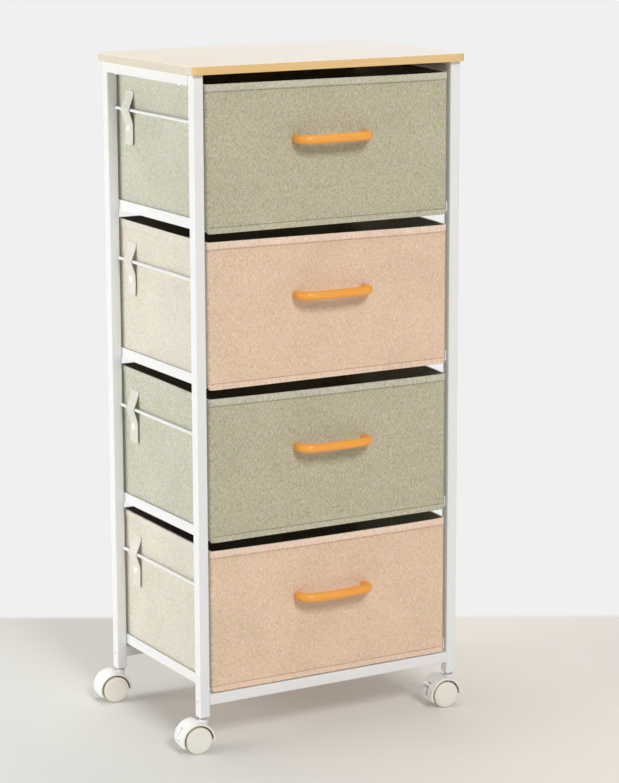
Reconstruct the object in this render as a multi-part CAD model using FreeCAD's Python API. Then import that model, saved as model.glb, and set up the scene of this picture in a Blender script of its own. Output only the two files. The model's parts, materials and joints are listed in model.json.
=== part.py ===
"""Fabric drawer tower on casters: a welded steel frame, a board top and four cloth drawers.

Millimetres. The origin is on the floor under the middle of the frame, +X to the right as seen from
the front, the drawers open towards -Y and +Z is up.
"""
import FreeCAD
import Part
import math
import os

V = FreeCAD.Vector

# Steel frame
frame_width = 432.0
frame_depth = 286.0
post_size = 16.0
tube_wall = 1.2
tube_corner = 2.0
post_tail = 15.0
weld_plate = 3.0

# Runners, one pair of angles for each drawer
drawer_count = 4
runner_pitch = 220.0
runner_leg = 15.0
runner_flange = 15.0
runner_steel = 1.5
runner_front_setback = 8.0
runner_rear_setback = 4.0
runner_rail_gap = 5.0

# Strap rods
rod_diameter = 4.6
rod_inset = 13.6
rod_drop = 55.3

# Board top
board_thickness = 12.0
board_side_overhang = 9.0
board_end_overhang = 7.0
board_corner = 17.0
board_edge = 1.0

# Drawers
drawer_side_gap = 4.5
drawer_front_recess = 2.0
drawer_rear_gap = 2.0
rim_gap = 15.2
top_gap = 12.0
seat_gap = 0.3
cloth = 1.0
stiffener = 3.0
lining = 1.0
drawer_corner = 4.0
hem_turn = 3.0
lip_drop = 5.0
lip_thickness = 3.0
lip_side_gap = 1.5
lip_corner = 3.0
fold_gap = 2.0
stiffener_gap = 0.5
stiffener_rim_gap = 5.0
base_thickness = 3.0
base_gap = 0.6

# Bow handles
handle_span = 111.0
handle_reach = 23.0
handle_bar = 13.0
handle_bow = 2.5
handle_bend = 14.0
handle_foot = 12.0
handle_foot_edge = 1.0
handle_drop = 83.5

# Straps and their snaps
strap_width = 25.0
strap_cloth = 1.2
strap_rear = 52.5
strap_top = 28.0
strap_sewn = 5.0
strap_end = 106.0
strap_flare = 1.0
strap_rod_gap = 0.4
snap_drop = 82.0
snap_flat = 13.6
snap_socket_radius = 4.5
snap_socket_height = 3.3
snap_cap_radius = 6.0
snap_cap_bevel = 0.5
snap_cap_flat = 3.2
snap_cap_height = 2.2
snap_neck_radius = 1.9

# Casters
wheel_diameter = 40.0
wheel_width = 11.5
wheel_side_gap = 0.5
wheel_edge = 2.0
wheel_cap_step = 0.8
wheel_cap_inset = 3.5
axle_diameter = 5.0
axle_end_wall = 2.0
web_thickness = 12.0
hood_gap = 2.4
hood_wall = 2.6
hood_edge = 1.0
hood_nose_drop = 0.5
hood_tail_drop = 10.0
caster_trail = 12.4
neck_diameter = 13.0
neck_rise = 1.6
neck_gap = 0.3
stem_diameter = 7.0
stem_collar = 13.0
stem_collar_height = 2.6
stem_in_hood = 20.0
stem_in_plug = 16.0
plug_flange = 2.5
plug_insert = 18.0
plug_taper = 1.5

# Brake pedals on the front casters
pedal_inset = 8.0
pedal_rise = 11.9
pedal_eye = 3.0
pedal_width = 7.0
pedal_thickness = 2.6
pedal_length = 15.0
pedal_pin = 2.6
pedal_cheek = 1.7
pedal_play = 0.3
pedal_slot_below = 14.0
pedal_slot_above = 4.6

# Fasteners
socket_flats = 2.5
socket_depth = 1.3
bolt_diameter = 4.0
bolt_head = 7.6
bolt_head_height = 2.2
bolt_grip = 12.0
board_screw_diameter = 4.0
board_screw_head = 8.0
board_screw_head_height = 2.4
board_screw_bite = 9.0
board_screw_front = 52.0
board_screw_rear = 35.0
handle_screw_diameter = 4.0
handle_screw_head = 8.5
handle_screw_head_height = 2.6
handle_screw_bite = 8.0

# Clearances
hole_clearance = 0.1
seated_fit = 0.02
running_fit = 0.05
plug_fit = 0.1
end_play = 0.3

# Directions in which the casters trail, in degrees from +X, and the angle of each brake pedal
caster_headings = {"front_left": 173.0, "front_right": 176.0, "rear_left": 172.0, "rear_right": 17.0}
pedal_angles = {"front_left": -55.0, "front_right": 33.0}

# Levels and limits worked out from the sizes above
wheel_radius = wheel_diameter / 2
axle_level = wheel_radius
hood_radius = wheel_radius + hood_gap + hood_wall
caster_half_width = web_thickness / 2 + wheel_side_gap + wheel_width
neck_top = axle_level + hood_radius + neck_rise
plug_bottom = neck_top + neck_gap + stem_collar_height
post_bottom = plug_bottom + plug_flange
rail_bottom = post_bottom + post_tail
rail_top = rail_bottom + post_size
drawer_height = runner_pitch - runner_steel - seat_gap - rim_gap
runner_levels = [rail_top + runner_rail_gap + runner_pitch * i for i in reversed(range(drawer_count))]
drawer_levels = [level + runner_steel + seat_gap for level in runner_levels]
post_top = drawer_levels[0] + drawer_height + top_gap
half_width = frame_width / 2
front = -frame_depth / 2
rear = frame_depth / 2
inner_width = half_width - post_size
post_x = half_width - post_size / 2
post_y = rear - post_size / 2
rod_x = half_width - rod_inset
drawer_half = inner_width - drawer_side_gap
drawer_front = front + drawer_front_recess
drawer_back = rear - drawer_rear_gap
wall = cloth + stiffener + lining
strap_y = rear - strap_rear
corners = {"front_left": (-post_x, -post_y), "front_right": (post_x, -post_y),
           "rear_left": (-post_x, post_y), "rear_right": (post_x, post_y)}


def block(x, y, z):
    """A box between a low and a high limit along each axis."""
    return Part.makeBox(x[1] - x[0], y[1] - y[0], z[1] - z[0], V(x[0], y[0], z[0]))


def around(middle, size):
    """Limits that lie evenly about a middle."""
    return (middle - size / 2, middle + size / 2)


def shrink(limits, amount):
    """Limits moved inwards by an amount at each end."""
    return (limits[0] + amount, limits[1] - amount)


def edges_along(shape, axis):
    """The straight edges of a shape that run along an axis."""
    found = []
    for edge in shape.Edges:
        if isinstance(edge.Curve, Part.Line) and edge.Curve.Direction.cross(axis).Length < 1e-6:
            found.append(edge)
    return found


def rounded(shape, axis, radius):
    """A box with the edges along one axis rounded."""
    return shape.makeFillet(radius, edges_along(shape, axis))


def disc(base, axis, radius, length):
    """A round bar from a base point along an axis."""
    return Part.makeCylinder(radius, length, base, axis)


def spun(points, base, axis, across):
    """A solid turned about an axis from (distance along it, radius) points."""
    corners_3d = [base + axis * along + across * radius for along, radius in points]
    outline = Part.makePolygon(corners_3d + corners_3d[:1])
    return Part.Face(outline).revolve(base, axis, 360)


def hex_socket(base, axis, across):
    """The six-sided recess for a key in a fastener's head, from the top of the head along an axis."""
    reach = socket_flats / math.sqrt(3)
    turns = [math.radians(60 * i) for i in range(6)]
    side = axis.cross(across)
    points = [base + (across * math.cos(turn) + side * math.sin(turn)) * reach for turn in turns]
    return Part.Face(Part.makePolygon(points + points[:1])).extrude(axis * socket_depth)


def mirrored(shape):
    """The same piece on the other side of the middle plane."""
    return shape.mirror(V(0, 0, 0), V(1, 0, 0))


def save(name, *solids):
    """Write one node, which may hold several separate solids."""
    shape = solids[0] if len(solids) == 1 else Part.makeCompound(list(solids))
    shape.exportStep("parts/" + name + ".step")


def square_tube(limits, axis):
    """A square tube with rounded corners, open at its ends along the given axis number."""
    direction = (V(1, 0, 0), V(0, 1, 0), V(0, 0, 1))[axis]
    hollow = [span if i == axis else shrink(span, tube_wall) for i, span in enumerate(limits)]
    outside = rounded(block(*limits), direction, tube_corner)
    inside = rounded(block(*hollow), direction, tube_corner - tube_wall)
    return outside.cut(inside)


def post(corner):
    """A post, drilled for the bolt that holds a cross rail."""
    x, y = corners[corner]
    tube = square_tube((around(x, post_size), around(y, post_size), (post_bottom, post_top)), 2)
    start = V(x - post_size / 2 - tube_wall, y, rail_bottom + post_size / 2)
    return tube.cut(disc(start, V(1, 0, 0), bolt_diameter / 2 + hole_clearance, post_size + 2 * tube_wall))


def board_screw_places():
    """Where the board's screws pass through the left top rail."""
    return [V(-post_x, front + board_screw_front, 0), V(-post_x, rear - board_screw_rear, 0)]


def top_rail():
    """The left top rail, between the posts, drilled for the board's screws."""
    span = shrink((front, rear), post_size)
    rail = square_tube((around(-post_x, post_size), span, (post_top - post_size, post_top)), 1)
    for place in board_screw_places():
        base = place + V(0, 0, post_top - post_size - tube_wall)
        drill = board_screw_diameter / 2 + hole_clearance
        rail = rail.cut(disc(base, V(0, 0, 1), drill, post_size + 2 * tube_wall))
    return rail


def cross_rail(y):
    """A rail between left and right posts, with a threaded plate welded into each end."""
    limits = (around(0, 2 * inner_width), around(y, post_size), (rail_bottom, rail_top))
    rail = square_tube(limits, 0)
    middle = V(0, y, rail_bottom + post_size / 2)
    for x in (-inner_width, inner_width - weld_plate):
        plate = block((x, x + weld_plate), shrink(limits[1], tube_wall / 2), shrink(limits[2], tube_wall / 2))
        rail = rail.fuse(plate)
    thread = disc(middle - V(half_width, 0, 0), V(1, 0, 0), bolt_diameter / 2 + seated_fit, frame_width)
    return rail.cut(thread).removeSplitter()


def runner(level):
    """A left runner: an angle welded to the inner faces of the posts, its flange under the drawer."""
    length = (front + runner_front_setback, rear - runner_rear_setback)
    leg = block((-inner_width, -inner_width + runner_steel), length, (level, level + runner_leg))
    flange = block((-inner_width, -inner_width + runner_flange), length, (level, level + runner_steel))
    return leg.fuse(flange).removeSplitter()


def strap_rod(level):
    """A left rod that a drawer's strap slides along, welded between the posts."""
    base = V(-rod_x, front + post_size, level + drawer_height - rod_drop)
    return disc(base, V(0, 1, 0), rod_diameter / 2, frame_depth - 2 * post_size)


def top_board():
    """The board top with round corners, softened edges and holes for its screws."""
    board = block(around(0, frame_width + 2 * board_side_overhang), around(0, frame_depth + 2 * board_end_overhang),
                  (post_top, post_top + board_thickness))
    board = rounded(board, V(0, 0, 1), board_corner)
    outline = [edge for face in board.Faces if abs(face.normalAt(0, 0).z) > 0.9 for edge in face.Edges]
    board = board.makeFillet(board_edge, outline)
    for place in board_screw_places():
        hole = disc(place + V(0, 0, post_top), V(0, 0, 1), board_screw_diameter / 2 + seated_fit, board_screw_bite)
        board = board.cut(hole).cut(mirrored(hole))
    return board


def post_plug(corner):
    """A plug in the lower end of a post, which holds a caster's stem."""
    x, y = corners[corner]
    flange = block(around(x, post_size), around(y, post_size), (plug_bottom, post_bottom))
    flange = rounded(flange, V(0, 0, 1), tube_corner)
    under = [edge for edge in flange.Edges if edge.BoundBox.ZMax < plug_bottom + seated_fit]
    flange = flange.makeChamfer(plug_taper, under)
    size = post_size - 2 * tube_wall - 2 * plug_fit
    insert = block(around(x, size), around(y, size), (post_bottom, post_bottom + plug_insert))
    insert = rounded(insert, V(0, 0, 1), tube_corner - tube_wall)
    socket = disc(V(x, y, plug_bottom), V(0, 0, 1), stem_diameter / 2 + seated_fit, plug_flange + stem_in_plug)
    return flange.fuse(insert).cut(socket).removeSplitter()


def caster_stem(corner):
    """The steel stem on which a caster swivels, with a collar that bears against the plug."""
    x, y = corners[corner]
    base = V(x, y, neck_top - stem_in_hood)
    stem = disc(base, V(0, 0, 1), stem_diameter / 2, plug_bottom + plug_flange + stem_in_plug - base.z)
    ends = [edge for edge in stem.Edges if isinstance(edge.Curve, Part.Circle)]
    collar = disc(V(x, y, neck_top + neck_gap), V(0, 0, 1), stem_collar / 2, stem_collar_height)
    return stem.makeChamfer(tube_wall / 2, ends).fuse(collar).removeSplitter()


def frame_bolt(corner):
    """A round-headed bolt from the outside of a post into the end of a cross rail."""
    x, y = corners[corner]
    side = math.copysign(1, x)
    inwards = V(-side, 0, 0)
    base = V(side * half_width, y, rail_bottom + post_size / 2)
    shank = disc(base, inwards, bolt_diameter / 2, post_size + bolt_grip)
    head = disc(base - inwards * bolt_head_height, inwards, bolt_head / 2, bolt_head_height)
    crown = [edge for edge in head.Edges if abs(edge.BoundBox.Center.x) > half_width + bolt_head_height / 2
             and isinstance(edge.Curve, Part.Circle)]
    bolt = head.makeFillet(bolt_head_height / 2, crown).fuse(shank).removeSplitter()
    return bolt.cut(hex_socket(base - inwards * bolt_head_height, inwards, V(0, 0, 1)))


def board_screw(place):
    """A screw up through a top rail into the board."""
    base = place + V(0, 0, post_top - post_size)
    shank = disc(base, V(0, 0, 1), board_screw_diameter / 2, post_size + board_screw_bite)
    head = disc(base, V(0, 0, -1), board_screw_head / 2, board_screw_head_height)
    crown = [edge for edge in head.Edges if edge.BoundBox.ZMax < base.z - board_screw_head_height / 2]
    screw = head.makeFillet(board_screw_head_height / 2, crown).fuse(shank).removeSplitter()
    return screw.cut(hex_socket(base - V(0, 0, board_screw_head_height), V(0, 0, 1), V(1, 0, 0)))


def drawer_box(offset, low, high):
    """A box inset from the outside of a drawer by an offset on all four sides."""
    return block(shrink((-drawer_half, drawer_half), offset), shrink((drawer_front, drawer_back), offset), (low, high))


def handle_holes(level, radius):
    """Drillings through the front wall of a drawer for its handle screws."""
    z = level + drawer_height - handle_drop
    return [disc(V(x, drawer_front - wall, z), V(0, 1, 0), radius, 3 * wall) for x in around(0, handle_span)]


def drawer_cloth(level):
    """The outer cloth: walls, bottom, a rim turned over the stiffeners and a lip below the front."""
    top = level + drawer_height
    up = V(0, 0, 1)
    outside = rounded(drawer_box(0, level, top), up, drawer_corner)
    pocket = rounded(drawer_box(cloth, level + cloth, top - cloth), up, drawer_corner - cloth)
    mouth = drawer_box(wall, top - hem_turn, top + cloth)
    turned_hem = drawer_box(cloth + stiffener, top - hem_turn, top - cloth).cut(mouth)
    skin = outside.cut(pocket).cut(mouth).fuse(turned_hem)
    lip = block(shrink((-drawer_half, drawer_half), lip_side_gap), (drawer_front, drawer_front + lip_thickness),
                (level - lip_drop, level + cloth))
    corners_below = [edge for edge in edges_along(lip, V(0, 1, 0)) if edge.BoundBox.ZMax < level]
    lip = lip.makeFillet(min(lip_corner, lip_drop), corners_below)
    skin = skin.fuse(lip)
    for hole in handle_holes(level, handle_screw_diameter / 2 + hole_clearance):
        skin = skin.cut(hole)
    return skin.removeSplitter()


def drawer_lining(level):
    """The dark lining inside the stiffeners, from the bottom up to the turned hem."""
    low = level + cloth
    high = level + drawer_height - hem_turn
    skin = drawer_box(cloth + stiffener, low, high).cut(drawer_box(wall, low + lining, high))
    for hole in handle_holes(level, handle_screw_diameter / 2 + hole_clearance):
        skin = skin.cut(hole)
    return skin


def drawer_boards(level):
    """The stiff boards: front, back, two halves in each folding side, and a loose base."""
    height = (level + cloth, level + drawer_height - stiffener_rim_gap)
    across = shrink((-drawer_half, drawer_half), drawer_corner)
    face = (drawer_front + cloth, drawer_front + cloth + stiffener)
    back = (drawer_back - cloth - stiffener, drawer_back - cloth)
    front_board = block(across, face, height)
    for hole in handle_holes(level, handle_screw_diameter / 2 + hole_clearance):
        front_board = front_board.cut(hole)
    boards = [front_board, block(across, back, height)]
    side = (-drawer_half + cloth, -drawer_half + cloth + stiffener)
    fold = around((drawer_front + drawer_back) / 2, fold_gap)
    for length in ((face[1] + stiffener_gap, fold[0]), (fold[1], back[0] - stiffener_gap)):
        half = block(side, length, height)
        boards += [half, mirrored(half)]
    floor = level + cloth + lining
    boards.append(drawer_box(wall + base_gap, floor, floor + base_thickness))
    return boards


def handle_spine(z):
    """The middle line of a handle between its feet: two bends and a shallow bow, tangent to each other."""
    inset = handle_span / 2 - handle_bend
    bar_y = drawer_front - handle_reach
    bow_radius = (inset ** 2 + 2 * handle_bend * handle_bow + handle_bow ** 2) / (2 * handle_bow)
    crest = V(0, bar_y - handle_bow, z)
    bow_middle = crest + V(0, bow_radius, 0)
    edges = []
    meets = []
    for side in (-1, 1):
        bend_middle = V(side * inset, bar_y + handle_bend, z)
        sideways = V(side, 0, 0)
        outwards = (bend_middle - bow_middle).normalize()
        knee = bend_middle + sideways * handle_bend
        elbow = bend_middle + (sideways + outwards).normalize() * handle_bend
        meets.append(bend_middle + outwards * handle_bend)
        edges.append(Part.Arc(knee, elbow, meets[-1]).toShape())
    edges.append(Part.Arc(meets[0], crest, meets[1]).toShape())
    return Part.Wire(Part.__sortEdges__(edges))


def handle(level):
    """A moulded bow handle with flared feet, tapped from behind for its screws."""
    z = level + drawer_height - handle_drop
    spine = handle_spine(z)
    start = spine.OrderedVertexes[0].Point
    section = Part.Wire(Part.makeCircle(handle_bar / 2, start, V(0, 1, 0)))
    bar = spine.makePipeShell([section], True, False)
    foot_length = handle_reach - handle_bend
    for x in around(0, handle_span):
        foot = Part.makeCone(handle_foot / 2, handle_bar / 2, foot_length, V(x, drawer_front, z), V(0, -1, 0))
        rim = [edge for edge in foot.Edges if edge.BoundBox.YMin > drawer_front - handle_foot_edge / 2]
        bar = bar.fuse(foot.makeFillet(handle_foot_edge, rim))
        thread = disc(V(x, drawer_front, z), V(0, -1, 0), handle_screw_diameter / 2 + seated_fit, handle_screw_bite)
        bar = bar.cut(thread)
    return bar.removeSplitter()


def handle_screw(x, level):
    """A screw from inside a drawer, through its front wall into a handle's foot."""
    z = level + drawer_height - handle_drop
    base = V(x, drawer_front + wall, z)
    shank = disc(base, V(0, -1, 0), handle_screw_diameter / 2, wall + handle_screw_bite)
    head = disc(base, V(0, 1, 0), handle_screw_head / 2, handle_screw_head_height)
    crown = [edge for edge in head.Edges if edge.BoundBox.YMin > base.y + handle_screw_head_height / 2]
    screw = head.makeFillet(handle_screw_head_height / 2, crown).fuse(shank).removeSplitter()
    return screw.cut(hex_socket(base + V(0, handle_screw_head_height, 0), V(0, -1, 0), V(1, 0, 0)))


def tangent(point, middle, radius, turn):
    """Where a line from a point touches a circle in the XZ plane, on the side that turn gives."""
    gap = point - middle
    lean = turn * math.acos(radius / gap.Length)
    bearing = math.atan2(gap.z, gap.x) + lean
    return middle + V(math.cos(bearing), 0, math.sin(bearing)) * radius


def strap_edge(rim, face, depth):
    """One side of a left strap from its sewn end to its free end, as edges, and the two end points."""
    middle = V(-rod_x, 0, rim - rod_drop)
    radius = rod_diameter / 2 + strap_rod_gap + depth
    seat = face - snap_socket_height
    top = V(face, 0, rim - strap_top)
    sewn = V(face, 0, rim - strap_top - strap_sewn + depth / 2)
    flat_top = V(seat, 0, rim - snap_drop + snap_flat / 2 - depth / 2)
    flat_end = V(seat, 0, rim - snap_drop - snap_flat / 2)
    end = V(seat - strap_flare, 0, rim - strap_end)
    touch_above = tangent(sewn, middle, radius, 1)
    touch_below = tangent(flat_top, middle, radius, -1)
    crest = middle + V(-radius, 0, 0)
    edges = [Part.makeLine(top, sewn), Part.makeLine(sewn, touch_above),
             Part.Arc(touch_above, crest, touch_below).toShape(), Part.makeLine(touch_below, flat_top),
             Part.makeLine(flat_top, flat_end), Part.makeLine(flat_end, end)]
    return edges, top, end


def strap(level):
    """A left strap: sewn to the drawer's side, over the rod and back to a snap, with a free end below."""
    rim = level + drawer_height
    inner, inner_top, inner_end = strap_edge(rim, -drawer_half, 0)
    outer, outer_top, outer_end = strap_edge(rim, -drawer_half - strap_cloth, strap_cloth)
    ends = [Part.makeLine(inner_top, outer_top), Part.makeLine(inner_end, outer_end)]
    outline = Part.Wire(Part.__sortEdges__(inner + outer + ends))
    band = Part.Face(outline).extrude(V(0, strap_width, 0))
    band.translate(V(0, strap_y - strap_width / 2, 0))
    hole = disc(V(-drawer_half, strap_y, rim - snap_drop), V(-1, 0, 0), snap_neck_radius + hole_clearance,
                2 * (snap_socket_height + strap_cloth))
    return band.cut(hole)


def snap(level):
    """A left snap: a socket on the drawer's side, a neck through the strap and a domed cap."""
    base = V(-drawer_half, strap_y, level + drawer_height - snap_drop)
    under_cap = snap_socket_height + strap_cloth
    points = [(0, 0), (0, snap_socket_radius), (snap_socket_height, snap_socket_radius),
              (snap_socket_height, snap_neck_radius), (under_cap, snap_neck_radius),
              (under_cap, snap_cap_radius), (under_cap + snap_cap_height / 2, snap_cap_radius - snap_cap_bevel),
              (under_cap + snap_cap_height, snap_cap_flat), (under_cap + snap_cap_height, 0)]
    return spun(points, base, V(-1, 0, 0), V(0, 0, 1))


def place_caster(shape, corner):
    """Turn a piece from the caster's own frame, which trails along +X, to its corner of the frame."""
    placed = shape.copy()
    placed.rotate(V(0, 0, 0), V(0, 0, 1), caster_headings[corner])
    x, y = corners[corner]
    placed.translate(V(x, y, 0))
    return placed


def wheel(side):
    """One wheel of a twin caster, with a blind bore, rounded tread edges and a raised cap."""
    middle = V(caster_trail, side * web_thickness / 2 + side * wheel_side_gap, axle_level)
    outwards = V(0, side, 0)
    bore = axle_diameter / 2 + running_fit
    bore_depth = wheel_width - axle_end_wall
    cap = wheel_radius - wheel_cap_inset
    points = [(0, bore), (0, wheel_radius - wheel_edge / 2), (wheel_edge / 2, wheel_radius),
              (wheel_width - wheel_edge, wheel_radius), (wheel_width - wheel_edge * 0.3, wheel_radius - wheel_edge * 0.3),
              (wheel_width, wheel_radius - wheel_edge), (wheel_width, cap),
              (wheel_width + wheel_cap_step, cap - wheel_cap_step), (wheel_width + wheel_cap_step, 0),
              (bore_depth, 0), (bore_depth, bore)]
    return spun(points, middle, outwards, V(0, 0, 1))


def axle():
    """The axle pin of a caster, held in the web of its hood."""
    length = web_thickness + 2 * (wheel_side_gap + wheel_width - axle_end_wall - end_play)
    return disc(V(caster_trail, -length / 2, axle_level), V(0, 1, 0), axle_diameter / 2, length)


def below_hood():
    """The space under the slanting lower edge of a hood, to be cut away."""
    reach = hood_radius + hood_wall
    nose = V(caster_trail - reach, -2 * reach, axle_level - hood_nose_drop)
    tail = V(caster_trail + reach, -2 * reach, axle_level - hood_tail_drop)
    drop = V(0, 0, -2 * reach)
    outline = Part.makePolygon([nose, tail, tail + drop, nose + drop, nose])
    return Part.Face(outline).extrude(V(0, 4 * reach, 0))


def plain_hood():
    """A moulded hood: a fender over both wheels, a web between them and a neck round the stem."""
    along = V(0, 1, 0)
    middle = V(caster_trail, 0, axle_level)
    drum = disc(middle - along * caster_half_width, along, hood_radius, 2 * caster_half_width)
    drum = drum.makeFillet(hood_edge, [edge for edge in drum.Edges if isinstance(edge.Curve, Part.Circle)])
    neck = disc(V(0, 0, axle_level), V(0, 0, 1), neck_diameter / 2, neck_top - axle_level)
    hood = drum.fuse(neck).cut(below_hood())
    for side in (-1, 1):
        start = middle + along * (side * web_thickness / 2)
        hood = hood.cut(disc(start, along * side, wheel_radius + hood_gap, caster_half_width + neck_diameter))
    bore_bottom = neck_top - stem_in_hood - end_play
    stem_bore = disc(V(0, 0, bore_bottom), V(0, 0, 1), stem_diameter / 2 + running_fit, stem_in_hood + neck_rise)
    axle_bore = disc(middle - along * web_thickness, along, axle_diameter / 2 + seated_fit, 2 * web_thickness)
    return hood.cut(stem_bore).cut(axle_bore).removeSplitter()


def pedal_pivot():
    """The pivot of a brake pedal, in the tail of the hood."""
    return V(caster_trail + hood_radius - pedal_inset, 0, axle_level + pedal_rise)


def braked_hood():
    """A hood with a slot through its web and tail, and sockets for a brake pedal."""
    pivot = pedal_pivot()
    beyond = (pivot.x - pedal_eye - pedal_play - running_fit, pivot.x + hood_radius)
    slot = block(beyond, around(0, pedal_width + 2 * pedal_play),
                 (pivot.z - pedal_slot_below, pivot.z + pedal_slot_above))
    socket = pedal_width + 2 * pedal_cheek - pedal_play
    pin = disc(pivot - V(0, socket / 2, 0), V(0, 1, 0), pedal_pin / 2 + running_fit, socket)
    return plain_hood().cut(slot).cut(pin).removeSplitter()


def pedal(angle):
    """A brake pedal with trunnions at its eye and a rounded tip, at an angle above level."""
    pivot = pedal_pivot()
    along = V(0, 1, 0)
    eye = disc(pivot - along * (pedal_width / 2), along, pedal_eye, pedal_width)
    pin_length = pedal_width + 2 * pedal_cheek - 2 * pedal_play
    pin = disc(pivot - along * (pin_length / 2), along, pedal_pin / 2, pin_length)
    tread = block((pivot.x, pivot.x + pedal_length), around(0, pedal_width), around(pivot.z, pedal_thickness))
    tip = [edge for edge in edges_along(tread, V(0, 0, 1)) if edge.BoundBox.XMin > pivot.x + pedal_length / 2]
    tread = tread.makeFillet(pedal_width / 3, tip)
    lever = eye.fuse(pin).fuse(tread).removeSplitter()
    lever.rotate(pivot, along, -angle)
    return lever


def save_frame():
    """Write the frame: posts, rails, runners, rods, board, plugs, stems and fasteners."""
    save("left_posts", post("front_left"), post("rear_left"))
    save("right_posts", post("front_right"), post("rear_right"))
    save("top_rails", top_rail(), mirrored(top_rail()))
    save("front_cross_rail", cross_rail(-post_y))
    save("rear_cross_rail", cross_rail(post_y))
    save("left_runners", *[runner(level) for level in runner_levels])
    save("right_runners", *[mirrored(runner(level)) for level in runner_levels])
    rods = [strap_rod(level) for level in drawer_levels]
    save("strap_rods", *rods, *[mirrored(rod) for rod in rods])
    save("top_board", top_board())
    save("post_plugs", *[post_plug(corner) for corner in corners])
    save("caster_stems", *[caster_stem(corner) for corner in corners])
    save("frame_bolts", *[frame_bolt(corner) for corner in corners])
    screws = [board_screw(place) for place in board_screw_places()]
    save("board_screws", *screws, *[mirrored(screw) for screw in screws])


def save_drawer(number, level):
    """Write one drawer: cloth, lining, boards, handle, screws, straps and snaps."""
    name = "drawer_%d_" % number
    save(name + "cloth", drawer_cloth(level))
    save(name + "lining", drawer_lining(level))
    save(name + "boards", *drawer_boards(level))
    save(name + "handle", handle(level))
    save(name + "handle_screws", *[handle_screw(x, level) for x in around(0, handle_span)])
    save(name + "straps", strap(level), mirrored(strap(level)))
    save(name + "snaps", snap(level), mirrored(snap(level)))


def save_caster(corner):
    """Write one caster: hood, axle, two wheels and, on a front caster, its brake pedal."""
    braked = corner in pedal_angles
    save(corner + "_hood", place_caster(braked_hood() if braked else plain_hood(), corner))
    save(corner + "_axle", place_caster(axle(), corner))
    save(corner + "_wheel_1", place_caster(wheel(1), corner))
    save(corner + "_wheel_2", place_caster(wheel(-1), corner))
    if braked:
        save(corner + "_brake_pedal", place_caster(pedal(pedal_angles[corner]), corner))


os.makedirs("parts", exist_ok=True)
save_frame()
for index, drawer_level in enumerate(drawer_levels):
    save_drawer(index + 1, drawer_level)
for caster_corner in corners:
    save_caster(caster_corner)
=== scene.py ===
# %% [markdown]
# # A fabric drawer tower on casters
# The tower is a white steel frame with a board on top, four soft drawers and four casters. The steel,
# plastic and board pieces already have their true shape in the frame that is loaded here, so they only
# need a finish. The sewn pieces and their stitches are modelled in this lesson.

# %% Load the frame
import json
import math

import bmesh
import bpy
from mathutils import Matrix, Vector


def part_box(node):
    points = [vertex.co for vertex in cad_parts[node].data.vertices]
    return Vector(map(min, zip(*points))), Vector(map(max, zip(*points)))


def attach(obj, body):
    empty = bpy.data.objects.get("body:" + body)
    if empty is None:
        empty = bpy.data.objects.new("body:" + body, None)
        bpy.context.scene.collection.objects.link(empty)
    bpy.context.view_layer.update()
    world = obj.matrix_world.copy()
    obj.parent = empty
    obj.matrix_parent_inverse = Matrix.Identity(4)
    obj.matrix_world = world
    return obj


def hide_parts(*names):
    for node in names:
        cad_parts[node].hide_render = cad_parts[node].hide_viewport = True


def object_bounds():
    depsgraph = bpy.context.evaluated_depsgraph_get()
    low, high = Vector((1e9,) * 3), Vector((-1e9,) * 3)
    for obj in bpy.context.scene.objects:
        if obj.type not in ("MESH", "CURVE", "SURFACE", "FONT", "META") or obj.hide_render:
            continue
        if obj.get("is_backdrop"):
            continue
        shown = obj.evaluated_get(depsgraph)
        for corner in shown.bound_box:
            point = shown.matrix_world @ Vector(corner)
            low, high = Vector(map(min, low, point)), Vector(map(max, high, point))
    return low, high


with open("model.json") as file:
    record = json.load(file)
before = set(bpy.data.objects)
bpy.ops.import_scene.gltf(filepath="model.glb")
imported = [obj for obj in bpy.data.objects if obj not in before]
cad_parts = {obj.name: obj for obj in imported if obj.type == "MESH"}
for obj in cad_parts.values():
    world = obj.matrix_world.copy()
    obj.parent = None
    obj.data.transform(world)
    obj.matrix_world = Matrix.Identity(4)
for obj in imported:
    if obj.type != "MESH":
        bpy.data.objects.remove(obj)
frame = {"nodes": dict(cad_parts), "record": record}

solid_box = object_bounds()
nodes = frame["nodes"]
MM = 0.001
print("pieces in the frame:", len(nodes))

# %% [markdown]
# ## Colour and nodes
# Colours are easiest to read as hex values, as on a paint card. A shader works on linear light, so one
# function turns hex into linear colour. A second function adds any node with its settings and its links,
# so that a material reads as a short list. A Mix node for colours takes its share at input 0 and its two
# colours at 6 and 7, and gives the result at output 2. A Map Range node takes its value at 0, the range it
# comes from at 1 and 2, and the range it goes to at 3 and 4. Pattern sizes are written in millimetres: a
# noise with a scale of 1000 / 5 has grains of about 5 mm, because object coordinates are in metres.

# %% Colour and node helpers
BLEND = {"data_type": "RGBA"}
TINT = {"data_type": "RGBA", "blend_type": "MULTIPLY"}
UNTINTED = (1, 1, 1, 1)


def tone(code):
    """Linear RGBA for an sRGB hex colour."""
    levels = [int(code[i:i + 2], 16) / 255 for i in (1, 3, 5)]
    return [v / 12.92 if v <= 0.04045 else ((v + 0.055) / 1.055) ** 2.4 for v in levels] + [1.0]


def add(tree, kind, inputs, **settings):
    """Add one node, with its settings, and set or link its inputs."""
    made = tree.nodes.new("ShaderNode" + kind)
    for name, value in settings.items():
        setattr(made, name, value)
    for name, value in inputs.items():
        if isinstance(value, bpy.types.NodeSocket):
            tree.links.new(value, made.inputs[name])
        else:
            made.inputs[name].default_value = value
    return made


def finish_named(name):
    """A new material with an empty node tree that holds only its output and its shader."""
    material = bpy.data.materials.new(name)
    material.use_nodes = True
    tree = material.node_tree
    tree.nodes.clear()
    shader = add(tree, "BsdfPrincipled", {})
    add(tree, "OutputMaterial", {"Surface": shader.outputs[0]})
    place = add(tree, "TexCoord", {}).outputs["Object"]
    return material, tree, shader, place


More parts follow.
